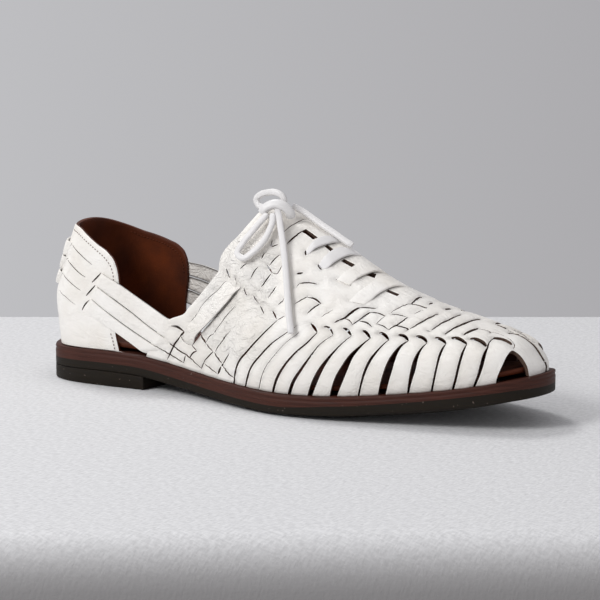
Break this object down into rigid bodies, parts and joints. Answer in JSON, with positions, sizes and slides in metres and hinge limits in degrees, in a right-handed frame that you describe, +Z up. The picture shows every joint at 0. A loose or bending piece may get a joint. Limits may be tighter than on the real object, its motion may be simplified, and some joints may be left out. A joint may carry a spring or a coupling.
{
  "type": "woven leather shoe",
  "caption": "Low leather shoe with a hollow strip-woven upper, closed heel counter, open waist, almond toe, welted sole, stacked heel and a tied lace.",
  "frame": {"origin": "middle of the sole's box in plan, on the ground plane", "axes": "+X from heel to toe, -Y to the outer (lateral) side, +Z up"},
  "size_m": [0.302, 0.1016, 0.1093],
  "materials": {
    "sole_black": "matte edge-trimmed rubber and dark-stained heel",
    "welt_brown": "stained and waxed leather edge",
    "lining_brown": "smooth tan-brown lining leather",
    "white_leather": "soft full-grain leather, lightly crinkled",
    "white_lace": "flat-cut leather lace"
  },
  "bodies": {
    "root": {"heel_block": "sole_black", "outsole": "sole_black", "welt": "welt_brown", "insole": "lining_brown", "upper": "white_leather", "lace_crossing_upper": "white_lace", "lace_crossing_lower": "white_lace", "lace_knot": "white_lace", "lace_loop_top": "white_lace", "lace_loop_side": "white_lace", "lace_end_near": "white_lace", "lace_end_far": "white_lace"}
  },
  "joints": []
}
